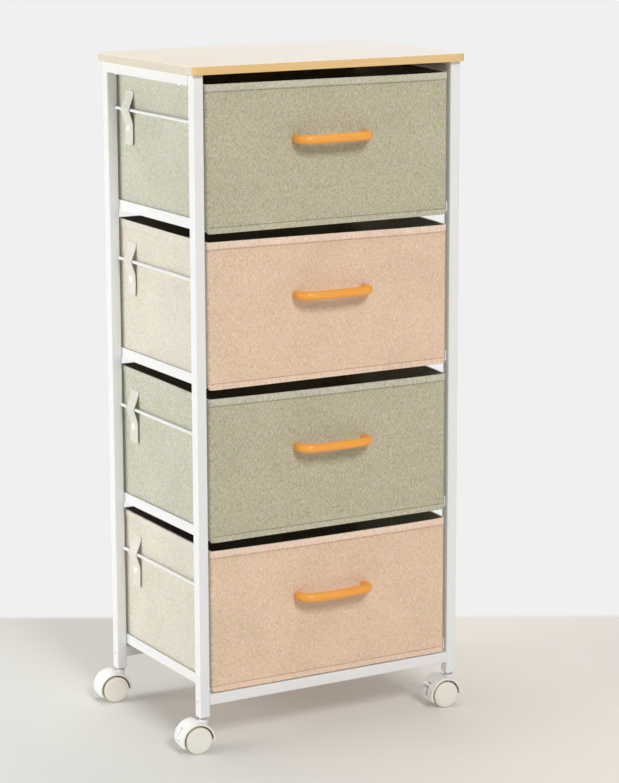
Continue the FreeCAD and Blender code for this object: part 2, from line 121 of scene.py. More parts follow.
# %% [markdown]
# ## Powder-coated steel
# The frame is mild steel tube, dusted with white powder that melts in an oven. The coat has a faint
# orange-peel of about a millimetre and a dull shine, and it is a little thinner, so greyer, in patches.
# A noise in the bump gives the peel, and a second, slower noise shifts the white by a trace.

# %% White powder coat
powder_coat, tree, shader, place = finish_named("white_powder_coat")
peel = add(tree, "TexNoise", {"Vector": place, "Scale": 1000 / 1.2, "Detail": 2.0})
drift = add(tree, "TexNoise", {"Vector": place, "Scale": 1000 / 90, "Detail": 3.0})
white = add(tree, "Mix", {0: drift.outputs[0], 6: tone("#E6E6E5"), 7: tone("#ECECEC")}, **BLEND)
rough = add(tree, "MapRange", {0: drift.outputs[0], 3: 0.48, 4: 0.6})
bump = add(tree, "Bump", {"Height": peel.outputs[0], "Strength": 0.12, "Distance": 0.2 * MM})
tree.links.new(white.outputs[2], shader.inputs["Base Color"])
tree.links.new(rough.outputs[0], shader.inputs["Roughness"])
tree.links.new(bump.outputs[0], shader.inputs["Normal"])
shader.inputs["Specular IOR Level"].default_value = 0.15
print("made", powder_coat.name)

# %% [markdown]
# ## Laminated board
# The top is a particle board with a printed wood laminate: almost bare birch above, with long faint grain
# along the board, and a band ironed on round its edge, honey-coloured along the front and the back and paler
# at the ends. The pale top is partly the laminate's own colour and partly a painted sheen, the whitish shine
# of a board seen from low. The paler ends are a painted highlight, for the end that the window lights. The
# height of a point tells top from edge and its X tells the ends, so one material covers the whole board. The
# laminate is painted a trace cooler and paler at the right than at the left, a painted reflection of the room
# on the right end. Noise stretched along X gives the grain lines, about 3 mm apart and 120 mm long. A dull
# varnish keeps the shine low.

# %% Birch laminate with a honey edge
board_low, board_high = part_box("top_board")
end_band = board_high.x - 6.8 * MM
# Painted reflection: the laminate turns cooler and paler towards the right end.
painted_right_reflection = (1.01, 1.06, 1.17, 1)
grain_size = (1000 / 120, 1000 / 3, 1000 / 3)
laminate, tree, shader, place = finish_named("birch_laminate_board")
split = add(tree, "SeparateXYZ", {0: place})
stretch = add(tree, "Mapping", {0: place, 3: grain_size})
grain = add(tree, "TexNoise", {"Vector": stretch.outputs[0], "Scale": 1.0, "Detail": 4.0,
                               "Distortion": 0.4})
# Partly painted sheen: the pale birch top also stands in for the shine of the board seen from low.
birch = add(tree, "Mix", {0: grain.outputs[0], 6: tone("#E1D7C7"), 7: tone("#E8DFD1")}, **BLEND)
honey = add(tree, "Mix", {0: grain.outputs[0], 6: tone("#E2B878"), 7: tone("#EDC88E")}, **BLEND)
above = add(tree, "MapRange", {0: split.outputs[2], 1: board_high.z - 0.9 * MM, 2: board_high.z - 0.3 * MM})
off_middle = add(tree, "Math", {0: split.outputs[0]}, operation="ABSOLUTE")
# Painted highlight: both ends of the edge band are painted pale, for the end that the window lights.
painted_highlight_end = add(tree, "MapRange", {0: off_middle.outputs[0], 1: end_band, 2: end_band + 0.8 * MM})
edge_with_painted_highlight = add(tree, "Mix", {0: painted_highlight_end.outputs[0], 6: honey.outputs[2], 7: tone("#D7CFBC")}, **BLEND)
wood = add(tree, "Mix", {0: above.outputs[0], 6: edge_with_painted_highlight.outputs[2], 7: birch.outputs[2]}, **BLEND)
# Painted reflection: the colour drifts to the cooler, paler tint towards the right.
rightwards = add(tree, "MapRange", {0: split.outputs[0], 1: board_low.x, 2: board_high.x})
painted_reflection_drift = add(tree, "Mix", {0: rightwards.outputs[0], 6: UNTINTED, 7: painted_right_reflection}, **BLEND)
laid = add(tree, "Mix", {0: 1.0, 6: wood.outputs[2], 7: painted_reflection_drift.outputs[2]}, **TINT)
bump = add(tree, "Bump", {"Height": grain.outputs[0], "Strength": 0.1, "Distance": 0.1 * MM})
tree.links.new(laid.outputs[2], shader.inputs["Base Color"])
tree.links.new(bump.outputs[0], shader.inputs["Normal"])
shader.inputs["Roughness"].default_value = 0.62
shader.inputs["Specular IOR Level"].default_value = 0.2
print("made", laminate.name)

# %% [markdown]
# ## Linen-look cloth
# The drawers are sewn from a plain weave of slubby two-tone yarn. Each yarn changes colour and thickness
# along its length, so the cloth is flecked in short upright and level dashes. Real yarns are 0.6 mm apart,
# too fine to show from here, so the dashes are drawn 1.15 mm wide and 5 mm long. The pattern has to follow
# the cloth where it sags, so it is laid on the UV map of the piece, which holds the distance along the wall
# and the height above the drawer's lip in metres. By that height the material also finds the hem, the rows
# of stitches, where thread pulls the cloth down and a painted shade darkens the groove and the step of the
# hem, and the dark binding inside the rim. The side walls are painted paler and cooler than the front, a
# painted light for the window at the left.

# %% Woven cloth
pitch = 220 * MM
lowest_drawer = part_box("drawer_4_cloth")[0].z
drawer_height = 203 * MM
half_width, half_depth = 195.5 * MM, 141 * MM
lip = 5 * MM
hem = 10.6 * MM
rim_width = 1.6 * MM
front_face = -138 * MM
hem_start = lip + drawer_height - hem
low_hem_end = lip + 3.0 * MM
low_row_at = lip + 3.6 * MM
row_half = 0.8 * MM
thin, long = 1000 / 1.15, 1000 / 5
hem_colour = (1.1, 1.14, 1.24, 1)
dye_shift = (0.02, -0.012, 0.06)


def woven(name, shade, light, fleck, side, melange):
    """A two-tone linen-look cloth: paler hems, painted side light, painted stitch-row shade, mixed dye."""
    material, tree, shader, place = finish_named(name)
    split = add(tree, "SeparateXYZ", {0: place})
    spread_out = add(tree, "SeparateXYZ", {0: tree.nodes["Texture Coordinate"].outputs["UV"]})
    height = spread_out.outputs[1]
    deep = add(tree, "Math", {0: split.outputs[1], 1: split.outputs[2]}, operation="ADD")
    wall = add(tree, "CombineXYZ", {0: spread_out.outputs[0], 1: height, 2: deep.outputs[0]})
    up = add(tree, "Mapping", {0: wall.outputs[0], 3: (thin, long, 40)})
    level = add(tree, "Mapping", {0: wall.outputs[0], 3: (long, thin, 40)})
    slub = {"Scale": 1.0, "Detail": 2.0, "Roughness": 0.6}
    warp = add(tree, "TexNoise", {"Vector": up.outputs[0], **slub})
    weft = add(tree, "TexNoise", {"Vector": level.outputs[0], **slub})
    cross = add(tree, "Math", {0: warp.outputs[0], 1: weft.outputs[0]}, operation="ADD")
    spread = add(tree, "MapRange", {0: cross.outputs[0], 1: 0.78, 2: 1.22})
    yarn = add(tree, "Mix", {0: spread.outputs[0], 6: tone(shade), 7: tone(light)}, **BLEND)
    dark_yarn = add(tree, "MapRange", {0: weft.outputs[0], 1: 0.55, 2: 0.7, 4: 0.65})
    flecked = add(tree, "Mix", {0: dark_yarn.outputs[0], 6: yarn.outputs[2], 7: tone(fleck)}, **BLEND)
    cloud = add(tree, "TexNoise", {"Vector": place, "Scale": 1000 / 70, "Detail": 2.0})
    wash = add(tree, "MapRange", {0: cloud.outputs[0], 1: 0.3, 2: 0.7, 3: 0.96, 4: 1.04})
    dye = add(tree, "TexNoise", {"Vector": place, "Scale": 1000 / 13, "Detail": 2.0})
    lot = add(tree, "MapRange", {0: dye.outputs[0], 1: 0.35, 2: 0.65})
    cool_lot = [1 - melange * v for v in dye_shift] + [1]
    warm_lot = [1 + melange * v for v in dye_shift] + [1]
    hue = add(tree, "Mix", {0: lot.outputs[0], 6: cool_lot, 7: warm_lot}, **BLEND)
    dyed = add(tree, "Mix", {0: 1.0, 6: flecked.outputs[2], 7: hue.outputs[2]}, **TINT)
    washed = add(tree, "Mix", {0: 1.0, 6: dyed.outputs[2], 7: wash.outputs[0]}, **TINT)
    front_only = add(tree, "Math", {0: split.outputs[1], 1: front_face}, operation="LESS_THAN")
    # Painted shade: the low stitch row on the front is darkened, for its groove.
    low_row = add(tree, "Math", {0: height, 1: low_row_at, 2: row_half}, operation="COMPARE")
    front_row = add(tree, "Math", {0: low_row.outputs[0], 1: front_only.outputs[0]}, operation="MULTIPLY")
    low_hem = add(tree, "MapRange", {0: height, 1: low_hem_end, 2: low_hem_end + 0.2 * MM, 3: 0.5, 4: 0.0})
    front_hem = add(tree, "Math", {0: low_hem.outputs[0], 1: front_only.outputs[0]}, operation="MULTIPLY")
    top_hem = add(tree, "Math", {0: height, 1: hem_start + 0.1 * MM}, operation="GREATER_THAN")
    in_hem = add(tree, "Math", {0: top_hem.outputs[0], 1: front_hem.outputs[0]}, operation="MAXIMUM")
    off_middle = add(tree, "Math", {0: split.outputs[0]}, operation="ABSOLUTE")
    on_side = add(tree, "MapRange", {0: off_middle.outputs[0], 1: half_width - 0.6 * MM, 2: half_width})
    hem_share = add(tree, "MapRange", {0: on_side.outputs[0], 3: 1.0, 4: 0.2})
    # Painted shade: a dark line under the step of the hem, weaker on the sides.
    top_row = add(tree, "Math", {0: height, 1: hem_start - 0.2 * MM, 2: row_half}, operation="COMPARE")
    top_row_painted_shade = add(tree, "Math", {0: top_row.outputs[0], 1: hem_share.outputs[0]}, operation="MULTIPLY")
    rows = add(tree, "Math", {0: front_row.outputs[0], 1: top_row_painted_shade.outputs[0]}, operation="MAXIMUM")
    hem_tint = add(tree, "Math", {0: in_hem.outputs[0], 1: hem_share.outputs[0]}, operation="MULTIPLY")
    paler = add(tree, "Mix", {0: hem_tint.outputs[0], 6: UNTINTED, 7: hem_colour}, **BLEND)
    hemmed = add(tree, "Mix", {0: 1.0, 6: washed.outputs[2], 7: paler.outputs[2]}, **TINT)
    # Painted light: the side walls are paler and cooler, for the window at the left.
    painted_side_light = add(tree, "Mix", {0: on_side.outputs[0], 6: UNTINTED, 7: side}, **BLEND)
    with_painted_side_light = add(tree, "Mix", {0: 1.0, 6: hemmed.outputs[2], 7: painted_side_light.outputs[2]}, **TINT)
    # The stitch rows take a painted shade, a share of the fleck colour.
    painted_row_shade = add(tree, "Math", {0: rows.outputs[0], 1: 0.35}, operation="MULTIPLY")
    sewn = add(tree, "Mix", {0: painted_row_shade.outputs[0], 6: with_painted_side_light.outputs[2], 7: tone(fleck)}, **TINT)
    off_centre = add(tree, "Math", {0: split.outputs[1]}, operation="ABSOLUTE")
    inner_x, inner_y = half_width - rim_width, half_depth - rim_width
    within_x = add(tree, "Math", {0: off_middle.outputs[0], 1: inner_x}, operation="LESS_THAN")
    within_y = add(tree, "Math", {0: off_centre.outputs[0], 1: inner_y}, operation="LESS_THAN")
    within = add(tree, "Math", {0: within_x.outputs[0], 1: within_y.outputs[0]}, operation="MULTIPLY")
    turned_in = add(tree, "Math", {0: within.outputs[0], 1: top_hem.outputs[0]}, operation="MULTIPLY")
    bound = add(tree, "Mix", {0: turned_in.outputs[0], 6: sewn.outputs[2], 7: tone("#3A372E")}, **BLEND)
    bump = add(tree, "Bump", {"Height": cross.outputs[0], "Strength": 0.35, "Distance": 0.5 * MM})
    tree.links.new(bound.outputs[2], shader.inputs["Base Color"])
    tree.links.new(bump.outputs[0], shader.inputs["Normal"])
    shader.inputs["Roughness"].default_value = 0.9
    shader.inputs["Specular IOR Level"].default_value = 0.2
    shader.inputs["Sheen Weight"].default_value = 0.35
    shader.inputs["Sheen Roughness"].default_value = 0.5
    shader.inputs["Sheen Tint"].default_value = tone("#FFFDF6")
    print("made", name)
    return material


# The fifth value is the painted side light, paler and cooler on the side walls.
sage_linen = woven("sage_linen", "#A79F84", "#D4CEB6", "#868065", (1.07, 1.16, 1.29, 1), 0.9)
peach_linen = woven("peach_linen", "#D6B597", "#F2DBC4", "#C09874", (0.9, 1.13, 1.31, 1), 0.4)
# The strap bands are a paler cloth, and their colour also holds painted light from the window on the sides.
sage_band = woven("sage_linen_band", "#D0CFC3", "#DFDFD6", "#B8B6A7", UNTINTED, 0.3)
peach_band = woven("peach_linen_band", "#DBD2CA", "#E6DED7", "#C7BBB0", UNTINTED, 0.2)

# %% [markdown]
# ## Lining, card and thread
# Inside, the drawers have a grey-brown spunbond lining, pressed with a grid of small points. The stiffening
# card is covered with the same. A Voronoi pattern with 2.5 mm cells stands for the pressed points, and a
# pale tape covers the upright seams: one in each corner and one in each side, where the drawer folds flat.
# The straps' inner faces are painted dark, a painted shade for the narrow gap between strap and drawer,
# and the sewing thread is polyester, a shade darker than the cloth.

# %% Spunbond lining and thread
side_start, corner_start, fold_half = 188.4 * MM, 133.9 * MM, 1.1 * MM
spunbond, tree, shader, place = finish_named("brown_spunbond_lining")
points = add(tree, "TexVoronoi", {"Vector": place, "Scale": 1000 / 2.5})
fibre = add(tree, "TexNoise", {"Vector": place, "Scale": 1000 / 6, "Detail": 4.0})
felt = add(tree, "Mix", {0: fibre.outputs[0], 6: tone("#99927D"), 7: tone("#AAA28C")}, **BLEND)
split = add(tree, "SeparateXYZ", {0: place})
off_middle = add(tree, "Math", {0: split.outputs[0]}, operation="ABSOLUTE")
off_centre = add(tree, "Math", {0: split.outputs[1]}, operation="ABSOLUTE")
on_side = add(tree, "Math", {0: off_middle.outputs[0], 1: side_start}, operation="GREATER_THAN")
fold = add(tree, "Math", {0: off_centre.outputs[0], 1: fold_half}, operation="LESS_THAN")
corner = add(tree, "Math", {0: off_centre.outputs[0], 1: corner_start}, operation="GREATER_THAN")
line = add(tree, "Math", {0: fold.outputs[0], 1: corner.outputs[0]}, operation="MAXIMUM")
seam = add(tree, "Math", {0: line.outputs[0], 1: on_side.outputs[0]}, operation="MULTIPLY")
seamed = add(tree, "Mix", {0: seam.outputs[0], 6: felt.outputs[2], 7: tone("#C4AE80")}, **BLEND)
bump = add(tree, "Bump", {"Height": points.outputs[0], "Strength": 0.4, "Distance": 0.2 * MM})
tree.links.new(seamed.outputs[2], shader.inputs["Base Color"])
tree.links.new(bump.outputs[0], shader.inputs["Normal"])
shader.inputs["Roughness"].default_value = 0.85


def strap_shade_finish(name, shade, light):
    """Two dark tones in a fine noise, the painted shade on a strap's inner faces."""
    material, tree, shader, place = finish_named(name)
    mat = add(tree, "TexNoise", {"Vector": place, "Scale": 1000 / 3, "Detail": 4.0})
    two_tone = add(tree, "Mix", {0: mat.outputs[0], 6: tone(shade), 7: tone(light)}, **BLEND)
    tree.links.new(two_tone.outputs[2], shader.inputs["Base Color"])
    shader.inputs["Roughness"].default_value = 0.9
    return material


def thread_of(name, shade, light):
    """Twisted polyester thread: two tones that alternate every millimetre."""
    material, tree, shader, place = finish_named(name)
    twist = add(tree, "TexNoise", {"Vector": place, "Scale": 1000 / 1.0, "Detail": 1.0})
    two_tone = add(tree, "Mix", {0: twist.outputs[0], 6: tone(shade), 7: tone(light)}, **BLEND)
    tree.links.new(two_tone.outputs[2], shader.inputs["Base Color"])
    shader.inputs["Roughness"].default_value = 0.6
    return material


# Painted shade: the strap's inner faces are dark, for the shaded gap between strap and drawer.
sage_strap_shade = strap_shade_finish("sage_strap_painted_shade", "#2C2A22", "#3A372D")
peach_strap_shade = strap_shade_finish("peach_strap_painted_shade", "#9C6B3C", "#B37E49")
sage_thread = thread_of("sage_thread", "#8F8768", "#A39B7E")
peach_thread = thread_of("peach_thread", "#C1956F", "#D0A785")
print("made", spunbond.name, sage_strap_shade.name, peach_strap_shade.name, sage_thread.name, peach_thread.name)

# %% [markdown]
# ## Moulded plastics
# The handles are glossy ABS, the caster hoods and plugs satin white nylon and the wheels ivory nylon.
# A moulded part is never one flat colour: melt flow leaves faint clouds a few centimetres across, and the
# gloss differs a little from place to place. One function makes all of them from two tones and a shine.
# The white nylon and the snaps have a dull skin, so their shine is weaker than that of the handles.

# %% Moulded plastics
def moulded(name, shade, light, low_shine, high_shine, grit):
    """Moulded plastic with faint flow clouds, a grit in millimetres and a range of roughness."""
    material, tree, shader, place = finish_named(name)
    flow = add(tree, "TexNoise", {"Vector": place, "Scale": 1000 / 25, "Detail": 3.0})
    skin = add(tree, "TexNoise", {"Vector": place, "Scale": 1000 / grit, "Detail": 2.0})
    melt = add(tree, "Mix", {0: flow.outputs[0], 6: tone(shade), 7: tone(light)}, **BLEND)
    shine = add(tree, "MapRange", {0: flow.outputs[0], 3: low_shine, 4: high_shine})
    bump = add(tree, "Bump", {"Height": skin.outputs[0], "Strength": 0.06, "Distance": 0.1 * MM})
    tree.links.new(melt.outputs[2], shader.inputs["Base Color"])
    tree.links.new(shine.outputs[0], shader.inputs["Roughness"])
    tree.links.new(bump.outputs[0], shader.inputs["Normal"])
    shader.inputs["IOR"].default_value = 1.53
    print("made", name)
    return material


orange_abs = moulded("orange_gloss_abs", "#F3A03A", "#FAAE4A", 0.3, 0.4, 1.5)
white_nylon = moulded("white_nylon", "#E9E9E6", "#EFEFED", 0.35, 0.5, 0.9)
snap_resin = moulded("ivory_snap_resin", "#EEEBE2", "#F5F3EC", 0.3, 0.4, 1.2)
for satin in (white_nylon, snap_resin):
    satin.node_tree.nodes["Principled BSDF"].inputs["Specular IOR Level"].default_value = 0.2

# %% [markdown]
# ## Zinc-plated steel
# Bolts, screws, stems and axles are bright zinc on steel. The plating is a metal, so it keeps the default
# IOR and takes its colour from the reflection; fine tumbling marks of about half a millimetre make the
# shine uneven.

# %% Zinc plate
zinc, tree, shader, place = finish_named("zinc_plated_steel")
tumbled = add(tree, "TexNoise", {"Vector": place, "Scale": 1000 / 0.6, "Detail": 3.0})
plate = add(tree, "Mix", {0: tumbled.outputs[0], 6: tone("#A9ABAE"), 7: tone("#C9CBCD")}, **BLEND)
scuff = add(tree, "MapRange", {0: tumbled.outputs[0], 3: 0.28, 4: 0.45})
tree.links.new(plate.outputs[2], shader.inputs["Base Color"])
tree.links.new(scuff.outputs[0], shader.inputs["Roughness"])
shader.inputs["Metallic"].default_value = 1.0
print("made", zinc.name)

# %% [markdown]
# ## Finishing the pieces that stay
# Steel, plastic and board pieces keep their own mesh. Each takes the finish that its material slot in the
# record asks for.

# %% Give the rigid pieces their finish
slot_finish = {"frame": powder_coat, "board": laminate, "handle": orange_abs, "steel": zinc,
               "snap": snap_resin, "white_plastic": white_nylon, "stiff_board": spunbond}
for row in frame["record"]["subparts"]:
    if row["material_slot"] in slot_finish:
        piece = nodes[row["node"]]
        piece.data.materials.clear()
        piece.data.materials.append(slot_finish[row["material_slot"]])
print("rigid pieces finished")

# %% [markdown]
# ## Two-tone wheels
# A caster wheel is an ivory disc with a tread round its edge. The tread is painted a darker sand colour, a
# painted shade for the warm shade in the narrow gap between the hood and the wheel. The tread is told from
# the disc by the distance to the middle of the wheel, so each wheel gets a finish of its own.

# %% Wheels
disc_radius = 19.5 * MM
tread_start = disc_radius + 0.5 * MM
for row in frame["record"]["subparts"]:
    if row["material_slot"] == "wheel":
        name = row["node"]
        low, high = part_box(name)
        wheel = moulded("ivory_nylon_" + name, "#EAE6DB", "#F1EEE4", 0.4, 0.5, 0.9)
        tree = wheel.node_tree
        shader = tree.nodes["Principled BSDF"]
        disc = shader.inputs["Base Color"].links[0].from_socket
        place = tree.nodes["Texture Coordinate"].outputs["Object"]
        reach = add(tree, "VectorMath", {0: place, 1: (low + high) / 2}, operation="DISTANCE")
        painted_tread_shade = add(tree, "MapRange", {0: reach.outputs["Value"], 1: disc_radius, 2: tread_start})
        # Painted shade: the tread is sand-coloured, for the warm shade in the gap under the hood.
        two_tone = add(tree, "Mix", {0: painted_tread_shade.outputs[0], 6: disc, 7: tone("#CDBE98")}, **BLEND)
        tree.links.new(two_tone.outputs[2], shader.inputs["Base Color"])
        nodes[name].data.materials.clear()
        nodes[name].data.materials.append(wheel)
print("wheels finished")

# %% [markdown]
# ## Modelling by operators
# A new piece starts as a primitive and is shaped in edit mode, where an operator acts on what is selected.
# So everything is deselected first, and faces and edges are picked in code by their place. A copy gets a
# mesh of its own, moved inside the mesh, so that its object stays at the origin.

# %% Operator helpers
def start(name, primitive, **sizes):
    """Add a primitive as a new piece and go into edit mode with all of it selected."""
    bpy.ops.object.select_all(action="DESELECT")
    primitive(**sizes)
    piece = bpy.context.object
    piece.name = piece.data.name = name
    bpy.ops.object.mode_set(mode="EDIT")
    bpy.ops.mesh.select_all(action="SELECT")
    return piece


def pick(piece, kind, test):
    """Select the vertices, edges or faces whose middle passes a test, and return how many there are."""
    bpy.ops.mesh.select_mode(type=kind)
    bpy.ops.mesh.select_all(action="DESELECT")
    shape = bmesh.from_edit_mesh(piece.data)
    count = 0
    for item in {"VERT": shape.verts, "EDGE": shape.edges, "FACE": shape.faces}[kind]:
        corners = [item.co] if kind == "VERT" else [v.co for v in item.verts]
        if test(sum(corners, Vector()) / len(corners), item):
            item.select_set(True)
            count += 1
    shape.select_flush_mode()
    bmesh.update_edit_mesh(piece.data)
    return count


def box_between(low, high):
    """Stretch a selected unit cube so that it fills the space between two corners."""
    middle = (Vector(low) + Vector(high)) / 2
    size = Vector(high) - Vector(low)
    bpy.ops.transform.resize(value=size)
    bpy.ops.transform.translate(value=middle)


def slice_at(axis, place):
    """Cut everything with a plane across one axis."""
    normal = [0, 0, 0]
    normal[axis] = 1
    point = [0, 0, 0]
    point[axis] = place
    bpy.ops.mesh.select_all(action="SELECT")
    bpy.ops.mesh.bisect(plane_co=point, plane_no=normal)


def end_edit(piece):
    """Leave edit mode, with the place of the piece kept in its mesh."""
    bpy.ops.object.mode_set(mode="OBJECT")
    bpy.ops.object.transform_apply(location=True, rotation=True, scale=True)
    return piece


def apply_modifier(piece, kind, **settings):
    """Add a modifier with its settings and apply it at once."""
    bpy.ops.object.select_all(action="DESELECT")
    piece.select_set(True)
    bpy.context.view_layer.objects.active = piece
    bpy.ops.object.modifier_add(type=kind)
    modifier = piece.modifiers[-1]
    for name, value in settings.items():
        setattr(modifier, name, value)
    bpy.ops.object.modifier_apply(modifier=modifier.name)


def copied(piece, name, move):
    """A copy of a piece with its own mesh, moved inside that mesh."""
    twin = piece.copy()
    twin.data = piece.data.copy()
    twin.name = twin.data.name = name
    bpy.context.scene.collection.objects.link(twin)
    twin.data.transform(Matrix.Translation(move))
    return twin


def coat(piece, material):
    """Give a piece one finish."""
    piece.data.materials.clear()
    piece.data.materials.append(material)


# %% [markdown]
# ## The cloth of a drawer
# Each drawer is a cloth bag pulled over stiff card: four walls and a bottom, a hem turned over the rim and
# down inside, and a lip below the front. It could be a closed block, but cloth is a sheet, so the piece is
# an open skin first: a cube without its top, sliced into small panels, with the hem raised by its second
# layer. The rim is extruded inwards and down to the lining, and a Solidify modifier then gives the cloth its
# thickness. Before that, a slow cloud pattern moves the panels by half a millimetre, so that light runs
# unevenly over them, as it does on cloth over card, and the sides swell by a millimetre behind the front.

# %% Model the lowest drawer's cloth
cloth_low = Vector((-half_width, -half_depth, lowest_drawer + lip))
cloth_high = Vector((half_width, half_depth, lowest_drawer + lip + drawer_height))
centre_y = (cloth_low.y + cloth_high.y) / 2
wall = 5 * MM
lip_depth = 3 * MM
panels_wide, panels_deep, panels_high = 24, 17, 12
clouds = bpy.data.textures.new("slack", type="CLOUDS")
clouds.noise_scale = 90 * MM


def is_upright(edge):
    """True for an edge that runs up a wall."""
    line = edge.verts[1].co - edge.verts[0].co
    return abs(line.z) > 0.9 * line.length


def on_rim(edge):
    """True for an open edge at the top of the skin."""
    return edge.is_boundary and min(v.co.z for v in edge.verts) > cloth_high.z - 0.5 * MM


cloth = start("drawer_cloth", bpy.ops.mesh.primitive_cube_add, size=1)
box_between(cloth_low, cloth_high)
pick(cloth, "FACE", lambda at, face: at.z > cloth_high.z - MM)
bpy.ops.mesh.delete(type="ONLY_FACE")
pick(cloth, "EDGE", lambda at, edge: is_upright(edge))
bpy.ops.mesh.bevel(offset=4 * MM, segments=3, affect="EDGES")
for i in range(1, panels_wide):
    slice_at(0, cloth_low.x + i * (cloth_high.x - cloth_low.x) / panels_wide)
for i in range(1, panels_deep):
    slice_at(1, cloth_low.y + i * (cloth_high.y - cloth_low.y) / panels_deep)
for i in range(1, panels_high):
    slice_at(2, cloth_low.z + i * (drawer_height - hem) / panels_high)
slice_at(2, cloth_high.z - hem)
slice_at(1, cloth_low.y + lip_depth)
print("panels:", len(bmesh.from_edit_mesh(cloth.data).faces))

# %% Turn the hem and the lip
hem_raise = 0.7 * MM
lip_steps = ((2.2, 0.0), (1.7, 0.8), (1.1, 1.6))  # millimetres down, and in at each end
slack_fade = 25 * MM
swell, swell_run = 1.2 * MM, 70 * MM
sharp, smooth = math.radians(50), math.radians(40)
half_x, half_y = cloth_high.x, (cloth_high.y - cloth_low.y) / 2


def come_in(distance, run):
    """A share that grows from 0 to 1 over a run of distance."""
    return max(0, min(1, distance / run))


pick(cloth, "FACE", lambda at, face: at.z > cloth_high.z - hem + 0.1 * MM)
bpy.ops.mesh.extrude_region_shrink_fatten(TRANSFORM_OT_shrink_fatten={"value": hem_raise})
pick(cloth, "EDGE", lambda at, edge: on_rim(edge))
for before, after, drop in ((0, rim_width, 0), (rim_width, wall, 1.6 * MM), (wall, wall, 0.6 * MM)):
    inwards = ((half_x - after) / (half_x - before), (half_y - after) / (half_y - before), 1)
    bpy.ops.mesh.extrude_edges_move(TRANSFORM_OT_translate={"value": (0, 0, -drop)})
    bpy.ops.transform.resize(value=inwards, center_override=(0, centre_y, cloth_high.z))
pick(cloth, "FACE", lambda at, face: at.y < cloth_low.y + lip_depth and at.z < cloth_low.z + 0.1 * MM)
for drop, narrow in lip_steps:
    bpy.ops.mesh.extrude_region_move(TRANSFORM_OT_translate={"value": (0, 0, -drop * MM)})
    bpy.ops.transform.resize(value=(1 - narrow * MM / half_x, 1, 1), center_override=(0, 0, 0))
end_edit(cloth)
slack = cloth.vertex_groups.new(name="slack")
for vertex in cloth.data.vertices:
    from_end = min(vertex.co.z - cloth_low.z, cloth_high.z - hem - vertex.co.z)
    from_wall = half_y - abs(vertex.co.y - centre_y)
    from_side = half_x - abs(vertex.co.x) if from_wall < MM else from_wall
    share = come_in(from_end, slack_fade) * come_in(from_side, slack_fade)
    slack.add([vertex.index], share, "REPLACE")
apply_modifier(cloth, "DISPLACE", texture=clouds, texture_coords="LOCAL", vertex_group="slack",
               strength=1.1 * MM, mid_level=0.5)
for vertex in cloth.data.vertices:
    vertex.co.x *= 1 + swell / half_x * come_in(vertex.co.y - cloth_low.y, swell_run)
apply_modifier(cloth, "SOLIDIFY", thickness=0.9 * MM, offset=-1)
apply_modifier(cloth, "BEVEL", width=0.8 * MM, segments=2, limit_method="ANGLE", angle_limit=sharp)
bpy.ops.object.shade_smooth_by_angle(angle=smooth)


def lay_flat(piece):
    """Write the distance along the wall and the height, in metres, into the UV map of a piece."""
    mesh = piece.data
    for loop, spot in zip(mesh.loops, mesh.uv_layers.active.data):
        at = mesh.vertices[loop.vertex_index].co
        spot.uv = (at.x + at.y, at.z - lowest_drawer)


lay_flat(cloth)
print("cloth faces:", len(cloth.data.polygons))

# %% [markdown]
# ## The lining
# The lining is a second, smaller bag inside the card, sewn to the turned hem. It is made like the cloth: a
# cube without its top, sliced, rounded at its corners and given a thickness. Its faces look inwards, so the
# thickness goes outwards, towards the card.

# %% Model the lowest drawer's lining
lining_x, lining_y = 190.6 * MM, 136.1 * MM
lining_low = Vector((-lining_x, -lining_y, cloth_low.z + 1.2 * MM))
lining_high = Vector((lining_x, lining_y, cloth_high.z - 1.8 * MM))
lining_wide, lining_deep, lining_tall = 12, 9, 6


def at_corner(at):
    """True for a place at one of the four upright corners of the lining."""
    return abs(at.x) > 190 * MM and abs(at.y - centre_y) > 133 * MM


lining = start("drawer_lining", bpy.ops.mesh.primitive_cube_add, size=1)
box_between(lining_low, lining_high)
pick(lining, "FACE", lambda at, face: at.z > lining_high.z - MM)
bpy.ops.mesh.delete(type="ONLY_FACE")
for axis, count in ((0, lining_wide), (1, lining_deep), (2, lining_tall)):
    for i in range(1, count):
        slice_at(axis, lining_low[axis] + i * (lining_high[axis] - lining_low[axis]) / count)
pick(lining, "EDGE", lambda at, edge: is_upright(edge) and at_corner(at))
bpy.ops.mesh.bevel(offset=3 * MM, segments=2, affect="EDGES")
bpy.ops.mesh.select_all(action="SELECT")
bpy.ops.mesh.flip_normals()
end_edit(lining)
apply_modifier(lining, "SOLIDIFY", thickness=0.6 * MM, offset=-1)
bpy.ops.object.shade_smooth_by_angle(angle=smooth)
print("lining faces:", len(lining.data.polygons))

# %% [markdown]
# ## A strap
# Two straps keep each drawer in the frame. Each is a band of folded cloth, sewn to the drawer's side, led
# over the outside of a rod and closed below it with a snap. A bend is only a row of short straight runs, so
# the band is drawn by extruding one edge from point to point. The points are written as millimetres out
# from the drawer's side and below its rim. The band is then doubled for the other side of the drawer. Its
# inner faces, those that look towards the drawer, take the second finish, a dark painted shade for the gap
# between the strap and the drawer.

# %% Model the lowest drawer's straps
strap_line = [(1.9, 28), (1.9, 31), (2.1, 33), (2.8, 35.5), (5.0, 41.6), (7.5, 47.8), (9.92, 53.6),
              (10.15, 54.6), (10.2, 55.3), (10.15, 56), (9.97, 56.7), (8.6, 60.6), (6.6, 66.6), (5.0, 71.6),
              (4.2, 75), (3.95, 78), (3.9, 83), (3.95, 90), (4.3, 98), (4.9, 106)]
strap_width, strap_middle = 25 * MM, 90.5 * MM


def strap_point(out, drop):
    """A point on the middle line of the left strap."""
    return Vector((cloth_low.x - out * MM, 0, cloth_high.z - drop * MM))


